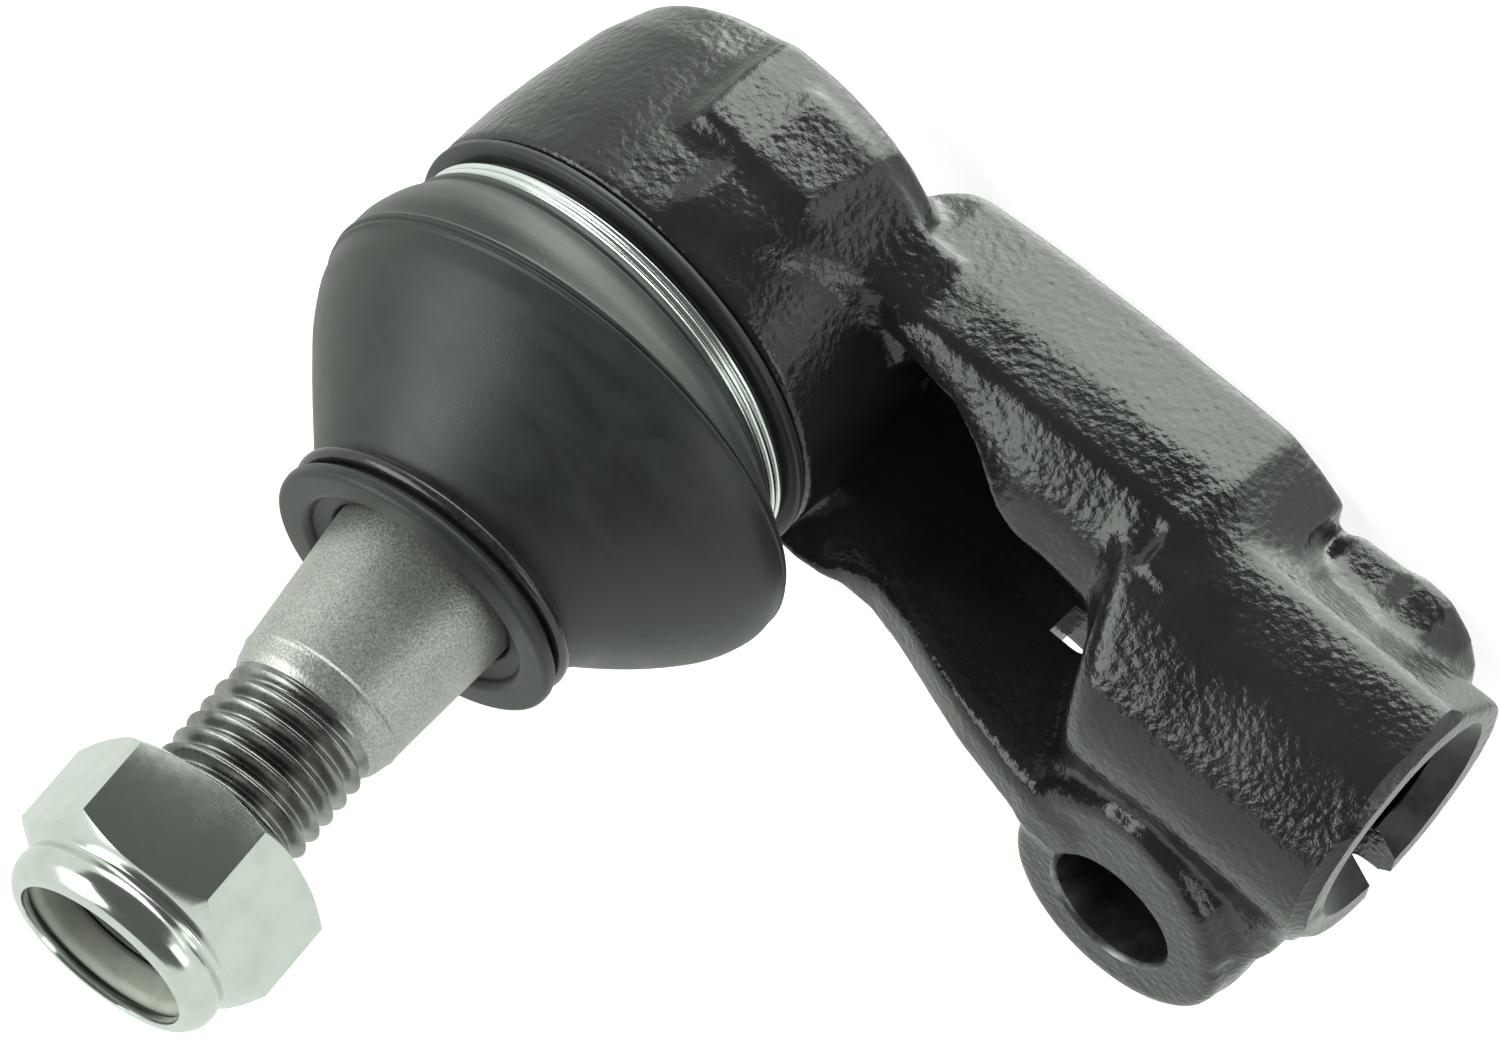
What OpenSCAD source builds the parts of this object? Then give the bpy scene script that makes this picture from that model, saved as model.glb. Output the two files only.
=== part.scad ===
// Steering tie rod end: a ball stud in a forged housing, with a rubber dust boot, a nylon-insert
// lock nut and a slotted socket that a pinch bolt clamps on the tie rod. The closed base of the
// ball housing lies on z = 0 with its centre at the origin, the housing opens along +Z, the socket
// opens along +X and the slit between the clamp ears is on the -Y side. The stud rests tilted a
// little in its ball joint. Heights on the stud are measured along its own axis, with the ball
// centre at ball_z.

/* [Ball housing] */
// Height of the housing from its base to the shoulder under the boot
housing_h = 19.2; // [19:0.1:19.4]
// Outer diameter of the housing at the shoulder
shoulder_d = 35.8; // [35.4:0.1:36.4]
// Outer diameter of the bevelled base rim
base_d = 31.8; // [31.4:0.1:32.4]
// Outer diameter of the neck that carries the boot
neck_d = 30.8; // [30.6:0.1:31]
// Height of the neck above the shoulder
neck_h = 5; // [4.8:0.1:5.2]
// Bore for the bearing halves
race_d = 25; // [24.8:0.1:25.2]

/* [Ball stud] */
// Diameter of the ball
ball_d = 20; // [19.8:0.1:20.1]
// Height of the ball centre above the base
ball_z = 13.2; // [13.2:0.1:13.4]
// Diameter of the stud between the ball and the flare
stem_d = 11.6; // [10.8:0.1:11.6]
// Diameter at the wide end of the taper
taper_d = 16; // [15.8:0.1:16]
// Height of the wide end of the taper
taper_z = 35.6; // [35.2:0.1:36]
// Height of the narrow end of the taper
taper_end_z = 54; // [53.6:0.1:54.6]
// Length of taper for each millimetre of diameter
taper_ratio = 6; // [6:1:8]
// Major diameter of the stud thread
thread_d = 12; // [11.9:0.05:12]
// Height of the end of the stud
stud_end_z = 73.6; // [73.2:0.1:74]
// Tilt of the stud from the housing axis, degrees
tilt = 6.4; // [0:0.1:8]
// Direction that the stud tilts in, degrees from +X
tilt_dir = -21.5; // [-90:0.5:90]

/* [Dust boot] */
// Widest diameter of the boot, at its mould line
boot_d = 39.4; // [39:0.1:40]
// Height of the widest circle of the boot
boot_z = 27.2; // [27:0.1:27.6]
// Outer diameter of the lip around the stud
lip_d = 23.4; // [23.2:0.1:24]
// Height of the lip face
lip_z = 43.6; // [43.4:0.1:43.8]
// Diameter of the recess in the lip face
lip_recess_d = 18.2; // [17.8:0.1:18.6]
// Wall thickness of the boot
boot_wall = 1.3; // [1.2:0.1:1.4]

/* [Boot rings] */
// Diameter of the wire of the clamp ring
clamp_wire_d = 0.9; // [0.85:0.05:0.95]
// Middle diameter of the clamp ring
clamp_ring_d = 33.6; // [33.5:0.1:33.8]
// Diameter of the wire of the neck ring
neck_wire_d = 1.1; // [1:0.05:1.1]

/* [Lock nut] */
// Width across the flats of the nut
nut_af = 18; // [17.8:0.1:19]
// Height of the washer face of the nut
nut_z = 66; // [65.6:0.1:66.4]
// Total height of the nut with its collar
nut_h = 11.6; // [11.4:0.1:12]
// Outer diameter of the rolled collar
collar_d = 16.8; // [16.4:0.1:17.2]
// Opening in the rolled lip of the collar
collar_open_d = 13.3; // [13.2:0.1:13.6]

/* [Socket] */
// Height of the socket axis above the base
socket_z = 9.3; // [9.2:0.1:9.5]
// Distance of the socket mouth from the stud axis
mouth_x = 63.8; // [63.6:0.1:64.4]
// Outer diameter of the socket tube
tube_d = 22; // [21.6:0.1:22.4]
// Wall diameter of the socket thread
socket_bore_d = 12.4; // [12:0.1:12.6]
// Depth of the socket bore
socket_depth = 23; // [22.6:0.1:23.4]
// Diameter of the countersink at the mouth
sink_d = 16.8; // [16:0.1:17.2]

/* [Clamp ears] */
// Distance of the pinch bolt hole from the stud axis
ear_x = 50.3; // [50:0.1:50.6]
// Distance of the pinch bolt hole from the socket axis
ear_y = 16; // [15.8:0.1:16.4]
// Diameter of the pinch bolt hole
bolt_hole_d = 10.2; // [9.8:0.1:10.6]
// Height of the upper ear face
ear_top_z = 21.4; // [21.2:0.1:21.6]
// Width of the slit between the ears
slit_w = 2.9; // [2.4:0.1:3]

/* [Arm] */
// Thickness of the web beside the pocket
web_t = 4; // [3.6:0.1:4.2]
// How far the arm and the lower ear reach below the base of the housing
arm_drop = 3.5; // [3:0.1:4]

/* [Hidden] */

$fn = 72;
cut = 1;                 // how far a cutter runs past the face it opens
fit = 0.05;              // radial running clearance
axial_fit = 0.1;         // clearance between the bearing halves and the parts around them

shoulder_r = shoulder_d / 2;
base_r = base_d / 2;
neck_r = neck_d / 2;
neck_top_z = housing_h + neck_h;
ball_r = ball_d / 2;
race_r = race_d / 2;
stem_r = stem_d / 2;
taper_r = taper_d / 2;
taper_end_r = taper_r - (taper_end_z - taper_z) / (2 * taper_ratio);
thread_r = thread_d / 2;
boot_r = boot_d / 2;
lip_r = lip_d / 2;
tube_r = tube_d / 2;

plate_r = race_r + 1.1;      // closing plate, held by the rolled rim under it
plate_z = 0.9;               // thickness of the rolled rim
plate_top_z = 2.6;
rim_open_r = 12.2;
race_base_z = 4.3;
race_top_z = 21;             // inner shoulder that the upper race bears on
throat_r = 10.6;             // narrow end of the opening that the stud swings in
web_y = -9;                  // front face of the web
web_back_y = web_y - web_t;
arm_x = 42;                  // where the arm bar starts to turn into the tube
tube_x = 38.4;               // closed end of the tube, in the pocket
slit_x = 34.8;               // blind end of the slit
ear_r = 9.2;

// Turns what belongs to the stud about the ball centre, from upright to its resting tilt
module tilted() {
    translate([0, 0, ball_z])
        rotate(a = tilt, v = [-sin(tilt_dir), cos(tilt_dir), 0])
            translate([0, 0, -ball_z])
                children();
}

// ---- forged housing ----

module cup() {
    bevel = 1.3;
    rotate_extrude()
        polygon([
            [0, 0], [base_r - bevel, 0], [base_r, bevel], [base_r + 1.2, 5], [shoulder_r - 0.3, 10.5],
            [shoulder_r, 14], [shoulder_r, housing_h], [neck_r, housing_h], [neck_r, neck_top_z],
            [0, neck_top_z]
        ]);
}

// Extrudes a profile along X; the profile's x is +Y and its y is +Z
module along_x(x0, x1) {
    translate([x0, 0, 0])
        rotate([90, 0, 90])
            linear_extrude(x1 - x0)
                children();
}

// The arm bar: a flat underside, a sloping front face and a top that falls away to the web
module bar_profile() {
    polygon([
        [web_back_y, -arm_drop + 2], [web_back_y + 2, -arm_drop], [9.4, -arm_drop], [12, 3.5],
        [12, 7.4], [10.8, 8.6], [6, 8], [0, 6.6], [web_y, 5], [web_back_y, 5]
    ]);
}

module arm_bar() {
    drop_x = 14.6;       // the underside starts clear of the closing plate
    intersection() {
        along_x(4, arm_x)
            bar_profile();
        union() {
            translate([0, -20, 0])
                cube([arm_x, 40, 20]);
            translate([0, 20, 0])
                rotate([90, 0, 0])
                    linear_extrude(40)
                        polygon([[drop_x, 1], [drop_x, 0], [drop_x + 3, -arm_drop], [arm_x, -arm_drop], [arm_x, 1]]);
        }
    }
}

module tube() {
    rim = 1;
    translate([tube_x, 0, socket_z])
        rotate([0, 90, 0]) {
            cylinder(r = tube_r, h = mouth_x - rim - tube_x);
            cylinder(r1 = tube_r, r2 = tube_r - rim, h = mouth_x - tube_x);
        }
    // the bar swells into the tube
    hull() {
        along_x(arm_x - 0.1, arm_x)
            bar_profile();
        translate([arm_x + 9, 0, socket_z])
            rotate([0, 90, 0])
                cylinder(r = tube_r, h = 0.5, $fn = 32);
    }
}

module web() {
    translate([0, web_y, 0])
        rotate([90, 0, 0])
            linear_extrude(web_t)
                polygon([
                    [8, 1], [46, 1], [46, ear_top_z], [42, ear_top_z - 0.2], [34.7, 19.8],
                    [30.8, 18.6], [26.6, 17.1], [23, 16.3], [20, 16.3], [17, 17.3], [8, 18]
                ]);
}

module ear_disc() {
    translate([ear_x + 0.2, -ear_y])
        circle(r = ear_r);
}

module upper_ear() {
    translate([0, 0, socket_z])
        linear_extrude(ear_top_z - socket_z) {
            ear_disc();
            polygon([
                [41.4, -14], [41.6, -10], [44, -6], [47.7, -1.6], [53.5, -1.6], [58, -5.2],
                [61, -10], [59.6, -17]
            ]);
        }
}

module lower_ear() {
    translate([0, 0, -arm_drop])
        linear_extrude(socket_z + arm_drop) {
            ear_disc();
            polygon([
                [41.4, -14], [42, -5], [46, 1], [48.8, 3.6], [52.6, 3.7], [54.7, 4.6],
                [56.7, 3.9], [58.6, 2], [59.6, 0], [61, -8], [59.6, -17]
            ]);
        }
}

module bolt_hole_cutter() {
    chamfer = 0.35;
    translate([ear_x, -ear_y, -arm_drop - cut])
        cylinder(d = bolt_hole_d, h = ear_top_z + arm_drop + 2 * cut);
    translate([ear_x, -ear_y, ear_top_z - 2 * chamfer])
        cylinder(d1 = bolt_hole_d, d2 = bolt_hole_d + 2 * (chamfer + cut), h = 2 * (chamfer + cut));
}

module socket_cutter() {
    sink_h = (sink_d - socket_bore_d) / 2;
    translate([mouth_x - socket_depth, 0, socket_z])
        rotate([0, 90, 0])
            cylinder(d = socket_bore_d, h = socket_depth + cut);
    translate([mouth_x - sink_h, 0, socket_z])
        rotate([0, 90, 0])
            cylinder(d1 = socket_bore_d, d2 = sink_d + 2 * cut, h = sink_h + cut);
}

module slit_cutter() {
    translate([slit_x, -30, socket_z - slit_w / 2])
        cube([mouth_x, 30, slit_w]);
}

module ball_cavity_cutter() {
    translate([0, 0, -cut])
        cylinder(r = rim_open_r, h = plate_z + 2 * cut);
    translate([0, 0, plate_z])
        cylinder(r = plate_r + fit, h = plate_top_z - plate_z);
    translate([0, 0, plate_z])
        cylinder(r = race_r + fit, h = race_top_z - plate_z);
    throat_h = neck_top_z - race_top_z;
    translate([0, 0, race_top_z])
        cylinder(r1 = throat_r, r2 = throat_r + throat_h / 2, h = throat_h);
    translate([0, 0, race_top_z - cut / 2])
        cylinder(r = throat_r, h = cut);
    translate([0, 0, neck_top_z])
        cylinder(r = throat_r + throat_h / 2, h = cut);
}

module forged_housing() {
    boot_room_r = shoulder_r + 0.3;
    color([0.06, 0.06, 0.065])
    difference() {
        union() {
            difference() {
                union() {
                    arm_bar();
                    tube();
                    web();
                    upper_ear();
                    lower_ear();
                }
                translate([0, 0, housing_h])
                    cylinder(r = boot_room_r, h = neck_h + 4);
            }
            cup();
        }
        ball_cavity_cutter();
        socket_cutter();
        slit_cutter();
        bolt_hole_cutter();
    }
}

// ---- inside the housing ----

module closing_plate() {
    boss_r = 8;
    color([0.42, 0.43, 0.43])
    rotate_extrude()
        polygon([
            [0, 0], [boss_r, 0], [boss_r + 2.8, plate_z], [plate_r, plate_z],
            [plate_r, plate_top_z], [boss_r + 1.4, plate_top_z], [boss_r - 1, 1.8], [0, 1.8]
        ]);
}

module preload_washer() {
    inner_r = 6;
    outer_r = race_r - 0.3;
    t = 0.85;
    color([0.5, 0.5, 0.5])
    rotate_extrude()
        polygon([
            [inner_r, race_base_z - axial_fit - t], [outer_r - 0.8, plate_top_z],
            [outer_r, plate_top_z], [outer_r, plate_top_z + t],
            [inner_r, race_base_z - axial_fit]
        ]);
}

module race_half(z0, z1) {
    difference() {
        translate([0, 0, z0])
            cylinder(r = race_r, h = z1 - z0);
        translate([0, 0, ball_z])
            sphere(r = ball_r + fit);
    }
}

module lower_race() {
    color([0.9, 0.9, 0.86])
    race_half(race_base_z, ball_z - axial_fit);
}

module upper_race() {
    mouth_h = 4.9;           // height over the ball centre where the mouth starts
    mouth_r = 8.9;
    top_z = race_top_z - axial_fit;
    h = top_z - ball_z - mouth_h;
    color([0.9, 0.9, 0.86])
    difference() {
        race_half(ball_z, top_z);
        translate([0, 0, ball_z + mouth_h])
            cylinder(r1 = mouth_r, r2 = mouth_r + h / 2, h = h);
        translate([0, 0, top_z - fit])
            cylinder(r = mouth_r + h / 2, h = cut);
    }
}

// ---- stud ----

module ball_stud() {
    flare_z = 30;
    chamfer_z = taper_end_z + 1.9;
    color([0.45, 0.46, 0.46])
    tilted() {
        translate([0, 0, ball_z])
            sphere(r = ball_r);
        rotate_extrude()
            polygon([
                [0, ball_z], [stem_r, ball_z], [stem_r, flare_z], [taper_r, flare_z + 3.5],
                [taper_r, taper_z], [taper_end_r, taper_end_z], [thread_r, chamfer_z],
                [thread_r, stud_end_z - 1], [thread_r - 1, stud_end_z], [0, stud_end_z]
            ]);
    }
}

// ---- boot and its rings ----

clamp_r = clamp_ring_d / 2;
clamp_wire_r = clamp_wire_d / 2;
clamp_seat_r = clamp_r - clamp_wire_r - fit;
clamp_z = housing_h + 1.55;
neck_ring_z = 41.25;
neck_seat_r = 10.6;

// Share of the tilt that a ring of the boot at height z follows: none on the band that the clamp
// ring holds, all of it from the mould line on
bend_z0 = clamp_z + 1.2;
bend_z1 = boot_z + 1;
function bend(z) = let(t = min(max((z - bend_z0) / (bend_z1 - bend_z0), 0), 1)) t * t * (3 - 2 * t);

// A point of the boot at radius r, height z and angle a round the axis. The side that the stud
// tilts to is pressed together and bulges.
function boot_point(r, z, a) =
    let(
        b = bend(z) * tilt,
        side = max(cos(a - tilt_dir), 0),
        bulge = 0.2 * tilt * side * side * max(0, 1 - pow((z - 32) / 6, 2)),
        x = (r + bulge) * cos(a - tilt_dir),
        y = (r + bulge) * sin(a - tilt_dir),
        h = z - ball_z,
        tx = x * cos(b) + h * sin(b)
    )
    [
        tx * cos(tilt_dir) - y * sin(tilt_dir),
        tx * sin(tilt_dir) + y * cos(tilt_dir),
        ball_z + h * cos(b) - x * sin(b)
    ];

module dust_boot() {
    band_r = neck_r + fit;
    bore_r = taper_r + 0.1;
    steps = 48;
    outline = [
        // outside, from the housing up to the lip
        [band_r, housing_h + fit], [shoulder_r, housing_h + fit], [shoulder_r, housing_h + 1],
        [clamp_seat_r, housing_h + 1.05], [clamp_seat_r, clamp_z + 1.3], [17.2, 22.5],
        [18.4, 24.2], [boot_r - 0.3, 25.8], [boot_r, boot_z], [boot_r - 0.5, 29.2], [18, 31.4],
        [11.4, 39.6], [neck_seat_r, 40.5], [neck_seat_r, 42], [lip_r - 0.7, 42.3],
        [lip_r, lip_z - 0.9], [lip_r - 0.3, lip_z], [lip_recess_d / 2, lip_z],
        // inside, back down to the band
        [lip_recess_d / 2, 41.8], [bore_r, 41.2], [bore_r, 37], [bore_r + 1.3, 39],
        [18 - boot_wall, 30.7], [boot_r - boot_wall, boot_z], [18.2 - boot_wall, 25],
        [16.2, 23.4], [band_r, clamp_z + 1.1]
    ];
    n = len(outline);
    color([0.11, 0.11, 0.11])
    polyhedron(
        points = [
            for (i = [0 : steps - 1], p = outline)
                boot_point(p[0], p[1], i * 360 / steps)
        ],
        faces = [
            for (i = [0 : steps - 1], j = [0 : n - 1])
                let(i2 = (i + 1) % steps, j2 = (j + 1) % n)
                each [
                    [i * n + j, i * n + j2, i2 * n + j2],
                    [i * n + j, i2 * n + j2, i2 * n + j]
                ]
        ]
    );
}

module boot_clamp_ring() {
    turns = 2;
    color([0.76, 0.78, 0.78])
    rotate_extrude()
        for (i = [0 : turns - 1])
            translate([clamp_r, clamp_z + i * (clamp_wire_d - fit)])
                circle(r = clamp_wire_r, $fn = 24);
}

module boot_neck_ring() {
    color([0.09, 0.09, 0.09])
    tilted()
    rotate_extrude()
        translate([neck_seat_r + fit + neck_wire_d / 2, neck_ring_z])
            circle(d = neck_wire_d, $fn = 24);
}

// ---- lock nut ----

collar_r = collar_d / 2;
collar_open_r = collar_open_d / 2;
collar_lip = 0.9;
insert_h = 2.6;
insert_r = collar_r - 1.3;
nut_top_z = nut_z + nut_h;
insert_top_z = nut_top_z - collar_lip - fit;
hex_top = 8.4;

module nut_blank() {
    corner_r = nut_af / 2 / cos(30);
    intersection() {
        cylinder(r = corner_r, h = nut_h, $fn = 6);
        rotate_extrude()
            polygon([
                [0, 0], [nut_af / 2 - 0.3, 0], [corner_r + 0.1, 0.9], [corner_r + 0.1, hex_top - 1.9],
                [collar_r + 0.1, hex_top], [collar_r, nut_h - 1.4], [collar_r - 0.9, nut_h - 0.2],
                [collar_r - 1.2, nut_h], [0, nut_h]
            ]);
    }
}

module nut_body() {
    color([0.76, 0.78, 0.78])
    tilted()
    translate([0, 0, nut_z])
    difference() {
        nut_blank();
        translate([0, 0, -cut])
            cylinder(r = thread_r + fit, h = nut_h + 2 * cut);
        translate([0, 0, nut_h - collar_lip - insert_h - 2 * fit])
            cylinder(r = insert_r + fit, h = insert_h + 2 * fit);
        translate([0, 0, nut_h - collar_lip - cut / 2])
            cylinder(r = collar_open_r, h = collar_lip + cut);
    }
}

module nylon_insert() {
    color([0.86, 0.87, 0.85])
    tilted()
    translate([0, 0, insert_top_z - insert_h])
    difference() {
        cylinder(r = insert_r, h = insert_h);
        translate([0, 0, -cut])
            cylinder(r = thread_r + fit, h = insert_h + 2 * cut);
    }
}

forged_housing();
closing_plate();
preload_washer();
lower_race();
upper_race();
ball_stud();
dust_boot();
boot_clamp_ring();
boot_neck_ring();
nut_body();
nylon_insert();
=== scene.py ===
import math

import bmesh
import bpy
import numpy as np
import openvdb
from mathutils import Matrix, Vector


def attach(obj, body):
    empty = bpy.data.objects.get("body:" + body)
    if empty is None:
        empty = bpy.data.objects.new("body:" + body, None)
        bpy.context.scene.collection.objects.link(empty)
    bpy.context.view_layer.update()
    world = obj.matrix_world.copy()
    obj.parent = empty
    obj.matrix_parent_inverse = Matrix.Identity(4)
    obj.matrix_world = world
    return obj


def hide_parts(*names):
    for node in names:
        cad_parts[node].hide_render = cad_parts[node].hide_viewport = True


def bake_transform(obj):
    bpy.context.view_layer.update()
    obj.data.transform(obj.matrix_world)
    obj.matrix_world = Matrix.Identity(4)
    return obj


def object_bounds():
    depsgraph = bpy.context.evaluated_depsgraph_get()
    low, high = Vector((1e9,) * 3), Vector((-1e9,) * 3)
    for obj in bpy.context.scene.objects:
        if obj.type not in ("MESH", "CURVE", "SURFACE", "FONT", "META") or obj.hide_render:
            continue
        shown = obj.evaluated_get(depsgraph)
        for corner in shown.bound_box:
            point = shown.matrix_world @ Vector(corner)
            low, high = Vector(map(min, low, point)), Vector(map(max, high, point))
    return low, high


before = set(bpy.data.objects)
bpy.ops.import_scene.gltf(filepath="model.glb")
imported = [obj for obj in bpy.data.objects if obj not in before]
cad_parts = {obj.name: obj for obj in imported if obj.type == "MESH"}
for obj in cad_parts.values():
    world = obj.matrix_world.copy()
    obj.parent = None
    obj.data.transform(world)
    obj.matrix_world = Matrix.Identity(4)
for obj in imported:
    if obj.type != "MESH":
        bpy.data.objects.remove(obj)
cad_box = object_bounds()

MM = 0.001

# ---------------------------------------------------------------- shared measures, in millimetres
BALL_Z = 13.2
TILT = math.radians(6.4)
TILT_DIR = math.radians(-21.5)
SOCKET_Z = 9.3
MOUTH_X = 63.8
TUBE_R = 11.2
EAR = (50.3, -16.0)
EAR_TOP = 21.4
FLOOR_Z = -3.5
PITCH = 1.5

CAM_AT = Vector((137.6, 391.4, 208.6))
CAM_RIGHT = Vector((0.7426, 0.0846, -0.6644)).normalized()
CAM_BACK = Vector((0.2694, 0.8705, 0.412)).normalized()
CAM_BACK = (CAM_BACK - CAM_BACK.dot(CAM_RIGHT) * CAM_RIGHT).normalized()
CAM_UP = CAM_BACK.cross(CAM_RIGHT)

TILTED = (
    Matrix.Translation((0, 0, BALL_Z))
    @ Matrix.Rotation(TILT, 4, Vector((-math.sin(TILT_DIR), math.cos(TILT_DIR), 0)))
    @ Matrix.Translation((0, 0, -BALL_Z))
)


# ---------------------------------------------------------------- camera
def make_camera():
    cam = bpy.data.cameras.new("camera")
    cam.sensor_fit = "HORIZONTAL"
    cam.sensor_width = 36
    cam.lens = 156
    cam.clip_start = 0.01
    cam.clip_end = 20
    ob = bpy.data.objects.new("camera", cam)
    turn = Matrix((CAM_RIGHT, CAM_UP, CAM_BACK)).transposed().to_4x4()
    ob.matrix_world = Matrix.Translation(CAM_AT * MM) @ turn
    bpy.context.scene.collection.objects.link(ob)
    bpy.context.scene.camera = ob


# ---------------------------------------------------------------- node helpers
def new_material(name):
    m = bpy.data.materials.new(name)
    m.use_nodes = True
    nt = m.node_tree
    return m, nt, nt.nodes["Principled BSDF"]


def coords(nt, stretch=(1, 1, 1)):
    tc = nt.nodes.new("ShaderNodeTexCoord")
    mp = nt.nodes.new("ShaderNodeMapping")
    mp.inputs["Scale"].default_value = stretch
    nt.links.new(tc.outputs["Object"], mp.inputs["Vector"])
    return mp.outputs["Vector"]


def noise(nt, vec, per_mm, detail=2.0, rough=0.5, distort=0.0):
    n = nt.nodes.new("ShaderNodeTexNoise")
    n.inputs["Scale"].default_value = per_mm / MM
    n.inputs["Detail"].default_value = detail
    n.inputs["Roughness"].default_value = rough
    n.inputs["Distortion"].default_value = distort
    nt.links.new(vec, n.inputs["Vector"])
    return n.outputs["Fac"]


def cells(nt, vec, per_mm, smooth=0.6):
    n = nt.nodes.new("ShaderNodeTexVoronoi")
    n.feature = "SMOOTH_F1"
    n.inputs["Scale"].default_value = per_mm / MM
    n.inputs["Smoothness"].default_value = smooth
    nt.links.new(vec, n.inputs["Vector"])
    return n.outputs["Distance"]


def ranged(nt, fac, lo, hi, from_lo=0.3, from_hi=0.7):
    n = nt.nodes.new("ShaderNodeMapRange")
    n.inputs["From Min"].default_value = from_lo
    n.inputs["From Max"].default_value = from_hi
    n.inputs["To Min"].default_value = lo
    n.inputs["To Max"].default_value = hi
    nt.links.new(fac, n.inputs["Value"])
    return n.outputs["Result"]


def math_node(nt, op, a, b):
    n = nt.nodes.new("ShaderNodeMath")
    n.operation = op
    for i, v in enumerate((a, b)):
        if isinstance(v, (int, float)):
            n.inputs[i].default_value = v
        else:
            nt.links.new(v, n.inputs[i])
    return n.outputs[0]


def colours(nt, fac, stops):
    n = nt.nodes.new("ShaderNodeValToRGB")
    els = n.color_ramp.elements
    els[0].position, els[0].color = stops[0][0], (*stops[0][1], 1)
    els[1].position, els[1].color = stops[-1][0], (*stops[-1][1], 1)
    for at, col in stops[1:-1]:
        e = els.new(at)
        e.color = (*col, 1)
    nt.links.new(fac, n.inputs["Fac"])
    return n.outputs["Color"]


def bump(nt, height, depth_mm, strength=1.0, under=None):
    n = nt.nodes.new("ShaderNodeBump")
    n.inputs["Distance"].default_value = depth_mm * MM
    n.inputs["Strength"].default_value = strength
    nt.links.new(height, n.inputs["Height"])
    if under is not None:
        nt.links.new(under, n.inputs["Normal"])
    return n.outputs["Normal"]


# ---------------------------------------------------------------- materials
def paint_material():
    m, nt, p = new_material("black_paint_on_forging")
    v = coords(nt)
    peel = noise(nt, v, 1.7, 2.5, 0.55, 0.1)
    pits = cells(nt, v, 1.6, 0.8)
    fine = noise(nt, v, 6.5, 2.0)
    broad = noise(nt, v, 0.12, 3.0)
    p.inputs["IOR"].default_value = 1.55
    nt.links.new(colours(nt, broad, [(0.3, (0.011, 0.012, 0.011)), (0.7, (0.020, 0.021, 0.019))]),
                 p.inputs["Base Color"])
    nt.links.new(math_node(nt, "ADD", ranged(nt, broad, 0.12, 0.20), ranged(nt, peel, 0.0, 0.05)),
                 p.inputs["Roughness"])
    b = bump(nt, pits, 0.08, 0.6)
    b = bump(nt, peel, 0.10, 0.7, b)
    b = bump(nt, fine, 0.018, 0.6, b)
    nt.links.new(b, p.inputs["Normal"])
    return m


def machined_material():
    m, nt, p = new_material("machined_steel")
    v = coords(nt, (9, 1, 1))
    lines = noise(nt, v, 0.9, 3.0, 0.6)
    spots = noise(nt, coords(nt), 1.1, 4.0)
    p.inputs["Metallic"].default_value = 1.0
    nt.links.new(colours(nt, spots, [(0.3, (0.16, 0.165, 0.16)), (0.7, (0.34, 0.35, 0.345))]),
                 p.inputs["Base Color"])
    nt.links.new(ranged(nt, lines, 0.26, 0.44), p.inputs["Roughness"])
    nt.links.new(bump(nt, lines, 0.02, 0.6), p.inputs["Normal"])
    return m


def oiled_material():
    m, nt, p = new_material("oiled_dark_steel")
    v = coords(nt)
    spots = noise(nt, v, 0.7, 4.0)
    p.inputs["Metallic"].default_value = 0.6
    nt.links.new(colours(nt, spots, [(0.3, (0.012, 0.013, 0.012)), (0.7, (0.040, 0.042, 0.040))]),
                 p.inputs["Base Color"])
    nt.links.new(ranged(nt, spots, 0.28, 0.42), p.inputs["Roughness"])
    nt.links.new(bump(nt, spots, 0.02, 0.5), p.inputs["Normal"])
    return m


def stud_material():
    m, nt, p = new_material("satin_phosphated_steel")
    v = coords(nt)
    grain = noise(nt, v, 5.0, 3.0, 0.6)
    specks = noise(nt, v, 6.0, 2.0)
    broad = noise(nt, v, 0.25, 3.0)
    p.inputs["Metallic"].default_value = 0.85
    both = math_node(nt, "ADD", math_node(nt, "MULTIPLY", specks, 0.6), math_node(nt, "MULTIPLY", grain, 0.25))
    both = math_node(nt, "ADD", both, math_node(nt, "MULTIPLY", broad, 0.15))
    nt.links.new(colours(nt, both, [(0.38, (0.34, 0.343, 0.328)), (0.62, (0.60, 0.605, 0.58))]),
                 p.inputs["Base Color"])
    nt.links.new(ranged(nt, grain, 0.34, 0.50), p.inputs["Roughness"])
    b = bump(nt, grain, 0.045, 0.9)
    nt.links.new(b, p.inputs["Normal"])
    return m


def rolled_thread_material():
    m, nt, p = new_material("rolled_thread_steel")
    v = coords(nt)
    grain = noise(nt, v, 4.0, 3.0, 0.6)
    broad = noise(nt, v, 0.5, 3.0)
    p.inputs["Metallic"].default_value = 1.0
    nt.links.new(colours(nt, broad, [(0.3, (0.17, 0.172, 0.165)), (0.7, (0.36, 0.363, 0.35))]),
                 p.inputs["Base Color"])
    nt.links.new(ranged(nt, grain, 0.20, 0.34), p.inputs["Roughness"])
    nt.links.new(bump(nt, grain, 0.012, 0.6), p.inputs["Normal"])
    return m


def zinc_material(name, base, rough, mottled, dents):
    m, nt, p = new_material(name)
    v = coords(nt)
    spots = noise(nt, v, 0.35, 5.0, 0.6)
    scratch = noise(nt, coords(nt, (1, 6, 2)), 1.4, 4.0, 0.7, 0.4)
    p.inputs["Metallic"].default_value = 1.0
    dark = tuple(c * (1 - mottled) for c in base)
    nt.links.new(colours(nt, spots, [(0.32, dark), (0.62, base)]), p.inputs["Base Color"])
    nt.links.new(math_node(nt, "ADD", ranged(nt, spots, rough + 0.05, rough), ranged(nt, scratch, 0, 0.05)),
                 p.inputs["Roughness"])
    nt.links.new(bump(nt, noise(nt, v, 1.2, 4.0), dents, 0.5), p.inputs["Normal"])
    return m


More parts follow.
